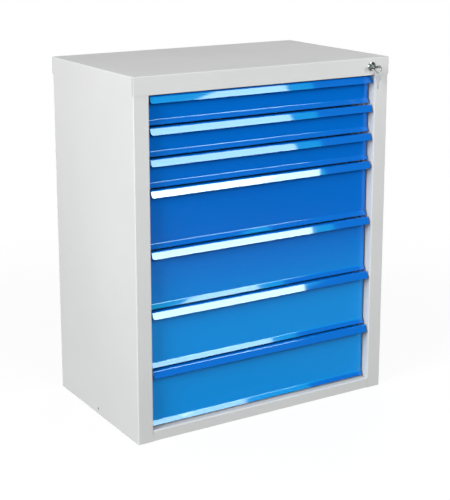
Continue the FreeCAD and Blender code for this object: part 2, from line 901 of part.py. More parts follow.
def make_lock_cam():
    body = new_body("lock_cam")
    middle = (lock_x, lock_z)
    pin = (lock_x + pin_offset, lock_z + pin_offset)
    disc = draw(body, "front", -(cam_y + s.cam_sheet), circles=[(middle, s.cam_radius)])
    pad(body, disc, s.cam_sheet)
    half = s.plug_tail + s.tail_play
    seat = box((lock_x - half, lock_z - half), (lock_x + half, lock_z + half))
    pocket(body, draw(body, "front", -cam_y, [seat]), s.cam_sheet)
    pin_end = cam_y + s.cam_sheet + s.pin_length
    pad(body, draw(body, "front", -pin_end, circles=[(pin, s.pin_radius)]), s.pin_length)


bar_x = lock_x + s.pin_radius
bar_teeth_x = bar_x + s.bar_sheet


bar_front_y = behind(s.bar_setback)
bar_y = bar_front_y + s.bar_sheet + s.weld_gap
head_z = lock_z + s.bar_travel + s.pin_radius + s.pin_play + s.guide_wall
head_low_z = head_z - s.bar_head_height


def make_lock_bar():
    """The flat bar, which reaches up behind the slotted head."""
    body = new_body("lock_bar")
    strip = box((bar_x, bar_y), (bar_teeth_x, bar_y + s.bar_width))
    pad(body, draw(body, "plan", s.bar_foot, [strip]), head_low_z + s.bar_head_lap - s.bar_foot)


def make_lock_bar_teeth(bottoms):
    """A tooth for every drawer, welded to the bar's side a little above the drawer's catch."""
    body = new_body("lock_bar_teeth")
    root_x = bar_teeth_x + s.weld_gap
    teeth = []
    for bottom in bottoms:
        low = bottom + s.catch_lift + s.catch_height + s.tooth_play
        tooth = box((root_x, low), (root_x + s.tooth_reach, low + s.tooth_height))
        teeth.append(tooth)
    tooth_end = behind(s.tooth_setback) + s.bar_sheet
    pad(body, draw(body, "front", -tooth_end, teeth), s.bar_sheet)


def make_lock_bar_head():
    """The plate on the bar's front edge, with the slot that the cam's pin moves in."""
    body = new_body("lock_bar_head")
    head_x = opening_x - s.bar_head_inset
    head = box((head_x - s.bar_head_width, head_low_z), (head_x, head_z))
    head_end = bar_front_y + s.bar_sheet
    pad(body, draw(body, "front", -head_end, [head]), s.bar_sheet)
    reach = pin_offset * sized(2).root()
    room = s.pin_radius + s.pin_play
    slot = box(
        (lock_x + pin_offset - room, lock_z + pin_offset - room),
        (lock_x + reach + room, lock_z + pin_offset + room),
    )
    pocket(body, draw(body, "front", -head_end, [slot]), s.bar_sheet, backwards=True)


def make_lock_bar_guides():
    """Nylon guides on the right front post, each a block with a slot for the bar."""
    body = new_body("lock_bar_guides")
    gap = s.guide_play
    slot = box((bar_x - gap, bar_y - gap), (bar_teeth_x + gap, bar_y + s.bar_width + gap))
    low_x = bar_x - gap - s.guide_wall
    high_x = bar_teeth_x + gap + s.guide_wall
    block = box((low_x, bar_y - gap - s.guide_wall), (high_x, behind(s.post_start)))
    for unit in GUIDE_UNITS:
        low = stack_z + unit * unit_pitch + s.guide_lift
        pad(body, draw(body, "plan", low, [block, slot]), s.guide_height)


# Keys: one in the lock, the other hanging from it on a ring

bow_y = fascia_y - s.lock_face_height - s.plug_proud - s.shoulder
ring_y = bow_y - s.bow_slot_place
web_x = lock_x + s.bow_width / 2 - s.bow_slot_edge / 2
ring_middle = s.ring_radius - s.ring_wire / 2
ring_z = lock_z + s.key_sheet / 2 + s.ring_play + s.ring_wire / 2 - ring_middle
wire_low_z = ring_z - ring_middle


def make_key():
    body = new_body("key")
    low = lock_z - s.key_sheet / 2
    half = s.blade_width / 2
    face_y = bow_y + s.shoulder
    blade_end = face_y + s.blade_length
    blade = [
        (lock_x - half, bow_y - s.shoulder),
        (lock_x + half, bow_y - s.shoulder),
        (lock_x + half, blade_end - s.tip_length),
        (lock_x, blade_end),
        (lock_x - half, blade_end - s.tip_length),
    ]
    pad(body, draw(body, "plan", low, [blade]), s.key_sheet)
    half_bow = s.bow_width / 2
    bow = box((lock_x - half_bow, bow_y - s.bow_length), (lock_x + half_bow, bow_y))
    pad(body, draw(body, "plan", low, [bow]), s.key_sheet)
    rounded(body, "plan", [bow[0], bow[1]], s.bow_corner)
    rounded(body, "plan", [bow[2], bow[3]], s.bow_corner - s.shoulder)
    half_slot = s.bow_slot_width / 2
    slot_x = half_bow - s.bow_slot_edge
    slot = box((lock_x - slot_x, ring_y - half_slot), (lock_x + slot_x, ring_y + half_slot))
    pocket(body, draw(body, "plan", low, [slot]), s.key_sheet, backwards=True)


def make_key_ring():
    """A ring whose wire has eight sides, which keeps its faces few."""
    body = new_body("key_ring")
    half = s.ring_wire / 2
    short = half * (sized(2).root() - 1)
    top_z = ring_z + ring_middle
    wire = [
        (ring_y + half, top_z - short),
        (ring_y + half, top_z + short),
        (ring_y + short, top_z + half),
        (ring_y - short, top_z + half),
        (ring_y - half, top_z + short),
        (ring_y - half, top_z - short),
        (ring_y - short, top_z - half),
        (ring_y + short, top_z - half),
    ]
    section = draw(body, "side", web_x, [wire])
    turn(body, section, (ring_y - s.ring_wire, ring_z), (ring_y + s.ring_wire, ring_z))


def make_spare_key():
    """The second key, hanging from the ring on edge, beside the drawers' ends."""
    body = new_body("spare_key")
    hole_z = wire_low_z + s.ring_wire / 2 + s.ring_play - s.spare_hole
    top = hole_z + s.spare_hole + s.spare_rim
    low = top - s.spare_bow
    half = s.spare_width / 2
    neck = s.spare_neck / 2
    end = low - s.spare_blade
    at = web_x - s.key_sheet / 2
    bow = box((ring_y - half, low), (ring_y + half, top))
    pad(body, draw(body, "side", at, [bow]), s.key_sheet)
    rounded(body, "side", bow, s.spare_corner)
    blade = [
        (ring_y - neck, low + s.spare_rim),
        (ring_y - neck, end + s.tip_length),
        (ring_y, end),
        (ring_y + neck, end + s.tip_length),
        (ring_y + neck, low + s.spare_rim),
    ]
    pad(body, draw(body, "side", at, [blade]), s.key_sheet)
    hole = draw(body, "side", at, circles=[((ring_y, hole_z), s.spare_hole)])
    pocket(body, hole, s.key_sheet, backwards=True)


# The whole cabinet, casing first

for side, word in ((-1, "left"), (1, "right")):
    make_side_panel(side, "side_panel_" + word)
    make_front_post(side, "front_post_" + word)
    make_rear_post(side, "rear_post_" + word)
make_top_cover()
make_back_panel()
make_base_pan()
make_bottom_rail()
make_frame_rivets()

drawer_bottoms = []
for number, units in enumerate(DRAWER_UNITS, 1):
    units_below = sum(DRAWER_UNITS[number:])
    bottom = stack_z + units_below * unit_pitch
    height = units * unit_pitch - s.front_gap
    middle = bottom + s.slide_lift
    drawer_bottoms.append(bottom)
    make_drawer_front("drawer_front_%d" % number, bottom, height)
    make_drawer_tray("drawer_tray_%d" % number, bottom, height)
    make_outer_rails("outer_rails_%d" % number, middle)
    make_middle_rails("middle_rails_%d" % number, middle)
    make_inner_rails("inner_rails_%d" % number, middle)

make_lock_housing()
make_lock_nut()
make_lock_plug()
make_lock_cam()
make_lock_bar()
make_lock_bar_teeth(drawer_bottoms)
make_lock_bar_head()
make_lock_bar_guides()
make_key()
make_key_ring()
make_spare_key()

# Every object must have built cleanly before anything is written

doc.recompute()
for item in doc.Objects:
    if "Invalid" in item.State or "Error" in item.State:
        raise RuntimeError("%s did not build: %s" % (item.Label, item.State))
for item in sub_parts:
    if item.Shape.isNull() or not item.Shape.isValid():
        raise RuntimeError("%s has no sound shape" % item.Label)

os.makedirs("parts", exist_ok=True)
for item in sub_parts:
    item.Shape.exportStep("parts/%s.step" % item.Label)
print("%d sub-parts written" % len(sub_parts))
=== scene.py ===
# %% [markdown]
# # A sheet-steel drawer cabinet
#
# The measured model of the cabinet comes in first and stays where it is. The lesson then gives every
# part a finish, bends finer sheets for what one looks at most, and lights the cabinet in a plain
# studio. Lengths in the text are in millimetres, as on a drawing, and Blender gets them in metres.

# %% Load the measured cabinet
import json
import math

import bmesh
import bpy
import numpy as np
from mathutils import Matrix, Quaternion, Vector

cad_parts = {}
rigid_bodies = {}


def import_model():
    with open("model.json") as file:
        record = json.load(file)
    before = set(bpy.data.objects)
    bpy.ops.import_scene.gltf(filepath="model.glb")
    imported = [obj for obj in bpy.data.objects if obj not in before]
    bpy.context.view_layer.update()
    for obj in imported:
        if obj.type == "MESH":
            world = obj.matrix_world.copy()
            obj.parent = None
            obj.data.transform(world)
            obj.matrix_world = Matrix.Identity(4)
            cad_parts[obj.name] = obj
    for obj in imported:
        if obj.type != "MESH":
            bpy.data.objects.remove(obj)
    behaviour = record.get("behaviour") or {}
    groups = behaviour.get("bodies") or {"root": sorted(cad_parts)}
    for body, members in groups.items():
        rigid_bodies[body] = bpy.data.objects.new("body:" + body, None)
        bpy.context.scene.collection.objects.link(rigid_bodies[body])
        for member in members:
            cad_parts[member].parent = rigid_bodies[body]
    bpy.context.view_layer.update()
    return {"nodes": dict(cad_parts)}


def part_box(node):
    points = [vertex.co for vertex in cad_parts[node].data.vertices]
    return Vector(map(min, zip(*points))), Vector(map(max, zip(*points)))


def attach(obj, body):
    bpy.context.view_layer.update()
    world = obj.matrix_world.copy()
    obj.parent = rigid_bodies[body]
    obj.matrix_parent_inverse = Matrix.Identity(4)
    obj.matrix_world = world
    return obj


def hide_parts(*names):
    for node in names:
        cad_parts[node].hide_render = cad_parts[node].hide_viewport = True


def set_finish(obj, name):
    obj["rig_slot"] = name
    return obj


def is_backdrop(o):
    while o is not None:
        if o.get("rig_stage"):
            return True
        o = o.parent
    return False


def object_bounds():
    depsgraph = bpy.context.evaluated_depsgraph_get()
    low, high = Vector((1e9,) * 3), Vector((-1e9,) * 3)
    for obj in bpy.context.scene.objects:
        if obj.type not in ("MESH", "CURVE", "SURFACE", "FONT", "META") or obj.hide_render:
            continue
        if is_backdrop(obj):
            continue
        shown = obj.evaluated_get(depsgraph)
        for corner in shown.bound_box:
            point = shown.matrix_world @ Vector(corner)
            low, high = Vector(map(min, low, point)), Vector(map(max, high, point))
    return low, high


for leftover in list(bpy.data.objects):
    bpy.data.objects.remove(leftover)
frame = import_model()
nodes = frame["nodes"]

# %% [markdown]
# ## Two small helpers
#
# Numpy works out every new shape as whole arrays of points. `make_mesh` turns points and faces into a
# piece, shades it smooth except where two faces meet at a clear angle, and lets it ride on a body of
# the cabinet, so that it follows when a drawer or the lock moves. `surface` joins a grid of points to
# quads: walking along a row and then to the next one gives the four corners of each quad.

# %% Pieces from arrays of points
MM = 0.001
SHARP = math.radians(35)


def make_mesh(name, points, faces, body, slot, replaced=(), bevel=0.0, sharp=SHARP):
    """A piece whose points are in millimetres. A bevel above zero breaks its sharp edges."""
    mesh = bpy.data.meshes.new(name)
    mesh.from_pydata((np.asarray(points, float).reshape(-1, 3) * MM).tolist(), [], faces)
    work = bmesh.new()
    work.from_mesh(mesh)
    bmesh.ops.remove_doubles(work, verts=work.verts, dist=1e-6)
    bmesh.ops.dissolve_degenerate(work, edges=work.edges, dist=1e-7)
    bmesh.ops.recalc_face_normals(work, faces=work.faces)
    work.to_mesh(mesh)
    work.free()
    mesh.shade_smooth()
    mesh.set_sharp_from_angle(angle=sharp)
    piece = bpy.data.objects.new(name, mesh)
    bpy.context.scene.collection.objects.link(piece)
    if bevel:
        edge = piece.modifiers.new("broken_edges", "BEVEL")
        edge.width = bevel * MM
        edge.segments = 2
        edge.limit_method = "ANGLE"
        edge.angle_limit = SHARP
        edge.harden_normals = True
    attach(piece, body)
    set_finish(piece, slot)
    if replaced:
        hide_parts(*replaced)
    return piece


def surface(rows, columns, start=0, around=False, along=False):
    """Quads of a grid of points. around joins the last column to the first, along the last row."""
    r = np.arange(rows if along else rows - 1)
    c = np.arange(columns if around else columns - 1)
    r, c = np.meshgrid(r, c, indexing="ij")
    below, right = (r + 1) % rows, (c + 1) % columns
    quads = np.stack([r * columns + c, r * columns + right,
                      below * columns + right, below * columns + c], -1)
    return (quads.reshape(-1, 4) + start).tolist()


# %% [markdown]
# ## The drawer fronts
#
# A real front is one blank of 1 mm steel with three folds: a lip that leans out for the fingers, a
# short flat on top, and a strip at the foot that leans out again. A folded sheet has a round outside
# at each fold, and those thin rounds catch the light as the fine white lines of the photograph. A
# profile carried along a path suits it. The profile is the sheet's middle line from the lip's edge to
# the strip's foot, its folds are arcs, and the two faces lie half a sheet to either side.

# %% The middle line of a folded sheet
def folded_line(corners, radii, steps=7, hold=0.25):
    """Points of straight runs joined by arcs that touch both runs, each of its own radius.

    At a corner with a turn of t, the arc starts and ends radius x tan(t / 2) away from it. One more
    point, a hold away on each run, keeps the shading of the run flat right up to the arc."""
    corners = np.asarray(corners, float)
    radii = np.broadcast_to(radii, len(corners) - 2)
    line = [corners[:1]]
    for before, corner, after, radius in zip(corners[:-2], corners[1:-1], corners[2:], radii):
        come, go = corner - before, after - corner
        come, go = come / np.linalg.norm(come), go / np.linalg.norm(go)
        turn = math.atan2(come[0] * go[1] - come[1] * go[0], come @ go)
        start = corner - come * radius * math.tan(abs(turn) / 2)
        centre = start + np.sign(turn) * radius * np.array([-come[1], come[0]])
        angle = np.linspace(0, turn, steps)[:, None]
        spoke = start - centre
        across = np.array([-spoke[1], spoke[0]])
        line.append((start - come * hold)[None])
        line.append(centre + np.cos(angle) * spoke + np.sin(angle) * across)
        line.append((line[-1][-1] + go * hold)[None])
    line.append(corners[-1:])
    return np.concatenate(line)


def lengths_along(line):
    """The distance from the line's first point to each of its points."""
    return np.concatenate([[0], np.cumsum(np.linalg.norm(np.diff(line, axis=0), axis=1))])


def side_steps(line):
    """The unit vector square to the line at each point, from the mean of its two runs."""
    runs = np.diff(line, axis=0)
    runs = runs / np.linalg.norm(runs, axis=1)[:, None]
    mean = np.concatenate([runs[:1], runs[:-1] + runs[1:], runs[-1:]])
    mean = mean / np.linalg.norm(mean, axis=1)[:, None]
    return np.stack([-mean[:, 1], mean[:, 0]], 1)


# %% Sizes that the fronts share with the measured model
FRONT_Y = -198.5
FRONT_HALF = 287.5
SHEET = 1.0
LIP_DROP, LIP_BACK, LIP_OUT = 15.5, 7.5, 0.5
PANEL_BACK, STRIP_HEIGHT, STRIP_OUT = 20.0, 10.0, 13.3
LIP_CORNER = 5.0
LIP_FOLD, STRIP_FOLD = 3.0, 4.0
WELD_GAP = 0.1
CHEEK_DEPTH, CHEEK_FOOT, CHEEK_HEAD, CHEEK_CORNER = 12, 14, 4, 3
CATCH_WIDTH, CATCH_FOOT, CATCH_TOP, CATCH_BACK = 3.3, 24, 31, 31

drawer_boxes = {n: [np.array(c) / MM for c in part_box("drawer_front_%d" % n)] for n in range(1, 8)}
for n, (low, high) in drawer_boxes.items():
    print("front %d: %.1f mm high, foot at %.1f mm" % (n, high[2] - low[2], low[2]))


# %% [markdown]
# The lip's lower corners are round. That is one more use of the profile: near each end it simply
# starts further up the lip, by the height of a quarter circle over the corner. Two cheeks and the
# catch of the lock are small plates welded behind the front.

# %% A front as a sheet of two parameters
def front_line(bottom, top):
    """The middle line of a front, as depth and height, from the lip's edge to the strip's foot."""
    slope = (LIP_BACK - LIP_OUT) / LIP_DROP
    lean = (PANEL_BACK - STRIP_OUT) / STRIP_HEIGHT
    lip_half = SHEET / 2 * math.hypot(1, slope)
    strip_half = SHEET / 2 * math.hypot(1, lean)
    flat = top - SHEET / 2
    panel = PANEL_BACK + SHEET / 2
    nose = LIP_BACK - slope * SHEET / 2 + lip_half
    fold = bottom + (panel - STRIP_OUT - strip_half) / lean
    corners = [(LIP_OUT + lip_half, top - LIP_DROP), (nose, flat), (panel, flat),
               (panel, fold), (STRIP_OUT + strip_half, bottom)]
    return folded_line(corners, (LIP_FOLD, LIP_FOLD, STRIP_FOLD), 9)


def front_sheet(bottom, top):
    """Both faces of a front: line(s) at width x, with s shortened where x is over a lip corner."""
    line = front_line(bottom, top)
    s = lengths_along(line)
    steps = side_steps(line)
    ends = FRONT_HALF - LIP_CORNER + LIP_CORNER * np.sin(np.linspace(0, math.pi / 2, 9))
    between = np.linspace(-260, 260, 14)
    x = np.concatenate([-ends[::-1], between, ends])
    over = np.clip(np.abs(x) - (FRONT_HALF - LIP_CORNER), 0, LIP_CORNER)
    rise = LIP_CORNER - np.sqrt(LIP_CORNER ** 2 - over ** 2)
    first = rise * math.hypot(1, (LIP_BACK - LIP_OUT) / LIP_DROP)
    at = np.maximum(s[None, :], first[:, None])
    depth, height = (np.interp(at, s, line[:, k]) for k in (0, 1))
    out_y, out_z = (np.interp(at, s, steps[:, k]) for k in (0, 1))
    faces = []
    for half in (SHEET / 2, -SHEET / 2):
        faces.append(np.stack([np.broadcast_to(x[:, None], at.shape),
                               FRONT_Y + depth + half * out_y, height + half * out_z], -1))
    return faces


# %% A closed shell from the two faces of a sheet, and a welded plate
def shell(face, other):
    """Points and quads of a sheet: each pair of lines across the width makes one closed loop."""
    loops = np.concatenate([face, other[:, ::-1]], axis=1)
    rows, columns = loops.shape[:2]
    quads = surface(rows, columns, around=True)
    half = columns // 2
    c = np.arange(half - 1)
    for row in (0, rows - 1):
        base = row * columns
        quads += (base + np.stack([c, c + 1, columns - 2 - c, columns - 1 - c], -1)).tolist()
    return loops.reshape(-1, 3), quads


def plate(outline, depth):
    """Points and faces of a flat plate: its outline in space and the same outline moved by depth."""
    outline = np.asarray(outline, float)
    n = len(outline)
    i = np.arange(n)
    walls = np.stack([i, (i + 1) % n, (i + 1) % n + n, i + n], -1).tolist()
    return np.concatenate([outline, outline + depth]), [i.tolist(), (i + n)[::-1].tolist()] + walls


def joined(parts):
    """Several sets of points and faces as one set."""
    points, faces, start = [], [], 0
    for some_points, some_faces in parts:
        points.append(np.reshape(some_points, (-1, 3)))
        faces += [[v + start for v in face] for face in some_faces]
        start += len(points[-1])
    return np.concatenate(points), faces


# %% Outlines with round corners
def round_outline(corners, radii, steps=6):
    """A closed flat outline whose corners are arcs, one radius for each corner."""
    corners = np.asarray(corners, float)
    radii = np.broadcast_to(radii, len(corners))
    line = []
    for before, corner, after, radius in zip(np.roll(corners, 1, 0), corners,
                                             np.roll(corners, -1, 0), radii):
        if radius > 0:
            near = [(before + corner) / 2, corner, (corner + after) / 2]
            line.append(folded_line(near, radius, steps, hold=0.05)[1:-1])
        else:
            line.append(corner[None])
    return np.concatenate(line)


def welded_plates(bottom, top):
    """The cheeks behind a front's ends and the catch for the lock bar's tooth."""
    start, end = PANEL_BACK + SHEET + WELD_GAP, PANEL_BACK + SHEET + CHEEK_DEPTH
    low, high = bottom + CHEEK_FOOT, top - SHEET - CHEEK_HEAD
    outline = round_outline([(start, low), (end, low), (end, high), (start, high)],
                            [0, CHEEK_CORNER, CHEEK_CORNER, 0])
    parts = []
    for x in (-FRONT_HALF, FRONT_HALF - SHEET):
        ring = np.column_stack([np.full(len(outline), x), FRONT_Y + outline[:, 0], outline[:, 1]])
        parts.append(plate(ring, (SHEET, 0, 0)))
    right = FRONT_HALF - SHEET - WELD_GAP
    left, foot, head = right - CATCH_WIDTH, bottom + CATCH_FOOT, bottom + CATCH_TOP
    hook = round_outline([(left, foot), (right, foot), (right, head), (left, head)], [1, 0, 0, 1])
    ring = np.column_stack([hook[:, 0], np.full(len(hook), FRONT_Y + CATCH_BACK), hook[:, 1]])
    parts.append(plate(ring, (0, SHEET, 0)))
    return parts


# %% Make the seven fronts
fronts = {}
for n, (low, high) in drawer_boxes.items():
    parts = [shell(*front_sheet(low[2], high[2]))] + welded_plates(low[2], high[2])
    points, faces = joined(parts)
    fronts[n] = make_mesh("folded_front_%d" % n, points, faces, "drawer_%d" % n, "blue_paint",
                          ["drawer_front_%d" % n], bevel=0.12)
print("fronts made:", len(fronts), "with", len(fronts[1].data.vertices), "points each")

# %% [markdown]
# ## Turned pieces
#
# A rivet head, the lock's face and its rim are round about one axis. A lathe shape is a profile of
# radius and place along the axis, turned through a full circle: the point at angle a is the centre
# plus radius x cos(a) and radius x sin(a) across the axis. Rings that lie on the axis close to a point.

# %% A profile turned round an axis
def turned(profile, centre, axis, steps=48):
    """Points and faces of a profile of (radius, place along the axis) turned once round the axis."""
    profile = np.asarray(profile, float)
    axis = np.asarray(axis, float)
    helper = np.array([0, 0, 1.0]) if abs(axis[2]) < 0.9 else np.array([1.0, 0, 0])
    across = np.cross(axis, helper)
    across = across / np.linalg.norm(across)
    other = np.cross(axis, across)
    a = np.linspace(0, 2 * math.pi, steps, endpoint=False)
    spokes = np.cos(a)[:, None] * across + np.sin(a)[:, None] * other
    points = (np.asarray(centre, float) + profile[:, None, 0:1] * spokes[None]
              + profile[:, None, 1:2] * axis)
    return points.reshape(-1, 3), surface(len(profile), steps, around=True)


def arc(radius_r, radius_s, centre_r, centre_s, start, end, steps=7):
    """Points of an elliptic arc as (radius, place), its angles in degrees from the radius' way."""
    a = np.radians(np.linspace(start, end, steps))
    return np.column_stack([centre_r + radius_r * np.cos(a), centre_s + radius_s * np.sin(a)])


# %% [markdown]
# The rivets hold the front posts to the stiles. A blind rivet has a low dome with a dimple where the
# mandrel broke off, and that dimple is what tells it from a screw at a glance.

# %% Blind rivets with domed heads
rivet_low, rivet_high = (np.array(c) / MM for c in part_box("frame_rivets"))
RIVET_HEAD = 3.5
RIVET_X, RIVET_Y = 292, FRONT_Y + 10
rivet_levels = np.linspace(rivet_low[2] + RIVET_HEAD, rivet_high[2] - RIVET_HEAD, 5)
dome = np.concatenate([[(0, 0.75), (0.75, 0.75)], arc(2.6, 1.0, 0.9, 0.2, 90, 0, 8), [(RIVET_HEAD, 0)]])
tail = [(2.0, 0), (2.0, -2.4), (2.8, -2.4), (2.6, -3.2), (1.2, -3.4), (0, -3.4)]
profile = np.concatenate([dome, tail])
rivet_parts = [turned(profile, (side * RIVET_X, RIVET_Y, level), (-side, 0, 0), 24)
               for side in (-1, 1) for level in rivet_levels]
rivets = make_mesh("domed_rivets", *joined(rivet_parts), "cabinet", "grey_paint", ["frame_rivets"])
print("rivets at heights", np.round(rivet_levels, 1))

# %% [markdown]
# The lock's face is a chromed cup that stands 2.5 mm proud of the cover. Its rim is rolled and a
# shallow groove separates the rim from the flat ring around the plug. The plug itself stays the
# measured one, because its keyway has to fit the key.

# %% Chromed lock face
LOCK_X, LOCK_Z = 279.5, 780.0
COVER_Y = -200.0
FACE_RADIUS, FACE_PROUD = 11.0, 2.5
BORE, BARREL, BARREL_DEPTH = 6.1, 9.0, 21.5
RIM = 1.3
barrel = [(BORE, -BARREL_DEPTH), (BARREL, -BARREL_DEPTH), (BARREL, 0)]
rim = arc(RIM, RIM, FACE_RADIUS - RIM, FACE_PROUD - RIM, 0, 90)
groove = arc(0.5, 0.35, 8.9, FACE_PROUD, 0, -180)
mouth = [(8.3, FACE_PROUD), (BORE + 0.5, FACE_PROUD), (BORE, FACE_PROUD - 0.4)]
cup = np.concatenate([barrel, [(FACE_RADIUS, 0)], rim, groove, mouth, barrel[:1]])
lock_face = make_mesh("lock_face", *turned(cup, (LOCK_X, COVER_Y, LOCK_Z), (0, -1, 0), 64),
                      "cabinet", "chrome", ["lock_housing"])
print("lock face width %.1f mm" % (lock_face.dimensions.x / MM))

# %% [markdown]
# ## The keys and their ring
#
# A split ring is one wire wound almost twice, so its path is a helix whose two turns lie side by side.
# A small circle carried along that path makes the wire. The keys are flat blanks: their outline has
# round shoulders, the bow has a hole, and the blade has the cuts that a locksmith files.

# %% A wire along a path
def wire(path, radius, sides=10):
    """A round wire: each ring of points lies in the plane square to the path, and flat caps close it."""
    path = np.asarray(path, float)
    ways = np.gradient(path, axis=0)
    ways = ways / np.linalg.norm(ways, axis=1)[:, None]
    across = np.cross(ways, (0, 1.0, 0))
    across = across / np.linalg.norm(across, axis=1)[:, None]
    other = np.cross(ways, across)
    a = np.linspace(0, 2 * math.pi, sides, endpoint=False)
    rings = path[:, None] + radius * (np.cos(a)[None, :, None] * across[:, None]
                                      + np.sin(a)[None, :, None] * other[:, None])
    n = len(path)
    caps = [list(range(sides)), list(range((n - 1) * sides, n * sides))[::-1]]
    return rings.reshape(-1, 3), surface(n, sides, around=True) + caps


ring_low, ring_high = (np.array(c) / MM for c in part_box("key_ring"))
ring_centre = (ring_low + ring_high) / 2
WIRE, RING_RADIUS = 0.45, 8.45
TURNS, CROSSING_TURN = 1.93, 0.96
turn_angle = np.linspace(0, 2 * math.pi * TURNS, 150)
slide = -WIRE + 2 * WIRE / (1 + np.exp(-(turn_angle - 2 * math.pi * CROSSING_TURN) * 5))
ring_path = np.column_stack([ring_centre[0] + RING_RADIUS * np.sin(turn_angle), ring_centre[1] + slide,
                             ring_centre[2] + RING_RADIUS * np.cos(turn_angle)])
split_ring = make_mesh("split_ring", *wire(ring_path, WIRE), "key_ring", "ring_wire", ["key_ring"])
print("ring centre", np.round(ring_centre, 1), "wire", 2 * WIRE, "mm")


# %% A key blank with a hole and a cut blade
KEY_THICKNESS = 2.0
EDGE_LIFT, EDGE_INSET = 0.22, 0.18


def bow(outer, hole):
    """A plate with a hole and broken edges.

    Two rims of points lie at each edge. From the foot of the hole they go out along the bottom, up
    the outer wall and back over the top to the hole, where the last rim joins the first."""
    count = len(outer)
    top = KEY_THICKNESS
    rims = [(hole, EDGE_LIFT), (hole, 0), (outer, 0), (outer, EDGE_LIFT),
            (outer, top - EDGE_LIFT), (outer, top), (hole, top), (hole, top - EDGE_LIFT)]
    centre = hole.mean(0)
    points = []
    for line, lift in rims:
        inset = EDGE_INSET if lift in (0, top) else 0.0
        way = (line - centre) / np.linalg.norm(line - centre, axis=1)[:, None]
        sign = 1 if line is hole else -1
        points.append(np.column_stack([line + sign * inset * way, np.full(count, lift)]))
    return np.concatenate(points), surface(len(rims), count, around=True, along=True)


def resampled(outline, count, centre):
    """The outline as count points at even angles round the centre, which lines it up with another."""
    way = outline - centre
    a = np.unwrap(np.arctan2(way[:, 1], way[:, 0]))
    if a[-1] < a[0]:
        a, outline = a[::-1], outline[::-1]
    a = np.append(a, a[0] + 2 * math.pi)
    closed = np.vstack([outline, outline[:1]])
    even = np.linspace(0, 2 * math.pi, count, endpoint=False)
    want = a[0] + np.mod(even - a[0], 2 * math.pi)
    return np.column_stack([np.interp(want, a, closed[:, k]) for k in (0, 1)])


def blade(start, end, half, cuts, tip=3.0, thinner=0.1):
    """A key blade: half its width less the depth of each cut on one side, and a pointed tip.

    It is a shade thinner than the bow, so that no two faces lie in one plane where they overlap."""
    along = np.linspace(0, 1, 61)
    at = start + (end - start) * along
    edge = np.full(len(along), half)
    for place, depth in cuts:
        edge = edge - depth * np.clip(1.4 - np.abs(along - place) / 0.055, 0, 1)
    point = np.clip((end - at) / tip, 0.06, 1)
    upper, lower = edge * point, -half * point
    outline = np.concatenate([np.column_stack([at, upper]), np.column_stack([at, lower])[::-1]])
    ring = np.column_stack([outline, np.full(len(outline), thinner)])
    return plate(ring, (0, 0, KEY_THICKNESS - 2 * thinner))


CUTS = [(0.28, 0.9), (0.42, 1.5), (0.56, 0.6), (0.69, 1.2)]

# %% [markdown]
# The first key lies flat in the lock, its bow in front, with a long slot for the ring. The second one
# hangs on edge from the ring. Both come from the same two functions, drawn flat as length and width
# and then laid into place by choosing which of the cabinet's axes the length, width and thickness take.

# %% The key in the lock and the spare key
def key_outline(length, half, corner_far, corner_near):
    """The bow's outline as length and width, with its origin at the shoulder."""
    corners = [(-length, -half), (0, -half), (0, half), (-length, half)]
    return round_outline(corners, [corner_far, corner_near, corner_near, corner_far], 9)


FINE = math.radians(20)
KEY_BOW, SPARE_BOW = 19.0, 22.0

key_low = np.array(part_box("key")[0]) / MM
slot_place = np.array([-8.0, 0.0])
slot = round_outline([(-12, -9.5), (-4, -9.5), (-4, 9.5), (-12, 9.5)], 2.2)
flat, faces = joined([bow(resampled(key_outline(KEY_BOW, 11.5, 7.0, 5.5), 96, slot_place),
                          resampled(slot, 96, slot_place)),
                      blade(-1.2, 21.5, 4.0, CUTS)])
lay = np.column_stack([LOCK_X + flat[:, 1], key_low[1] + KEY_BOW + flat[:, 0], key_low[2] + flat[:, 2]])
lock_key = make_mesh("lock_key", lay, faces, "key", "nickel_key", ["key"], sharp=FINE)

spare_low, spare_high = (np.array(c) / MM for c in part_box("spare_key"))
hole_place = np.array([-17.4, 0.0])
angle = np.linspace(0, 2 * math.pi, 64, endpoint=False)
hole = hole_place + 2.5 * np.column_stack([np.cos(angle), np.sin(angle)])
flat, faces = joined([bow(resampled(key_outline(SPARE_BOW, 9.0, 6.0, 6.0), 64, hole_place),
                          resampled(hole, 64, hole_place)),
                      blade(-2.6, 20.0, 2.5, [(place, depth * 0.6) for place, depth in CUTS])])
lay = np.column_stack([spare_low[0] + flat[:, 2], (spare_low[1] + spare_high[1]) / 2 + flat[:, 1],
                       spare_high[2] - SPARE_BOW - flat[:, 0]])
spare = make_mesh("hanging_key", lay, faces, "spare_key", "nickel_key", ["spare_key"], sharp=FINE)
print("keys made:", len(lock_key.data.vertices), "and", len(spare.data.vertices), "points")

# %% [markdown]
# ## Writing finishes as sums
#
# A finish is a small graph of nodes. `Paint` builds it: `node` adds any node, its settings first and
# then its sockets, and `Value` wraps a socket so that `1 - mask` or `grain * 0.3` adds the Math node
# that does it. What varies over the surface goes only to colour, roughness and bump.

# %% Sockets that can be added and multiplied
class Value:
    """A socket in a finish. Sums and products of two of them, or of one and a number, add a node."""

    def __init__(self, paint, socket):
        self.paint = paint
        self.socket = socket

    def maths(self, operation, first, second):
        return self.paint.node("ShaderNodeMath", {"operation": operation}, {0: first, 1: second})

    def __add__(self, other):
        return self.maths("ADD", self, other)

    def __sub__(self, other):
        return self.maths("SUBTRACT", self, other)

    def __mul__(self, other):
        return self.maths("MULTIPLY", self, other)

    def __rsub__(self, other):
        return self.maths("SUBTRACT", other, self)

    __radd__ = __add__
    __rmul__ = __mul__


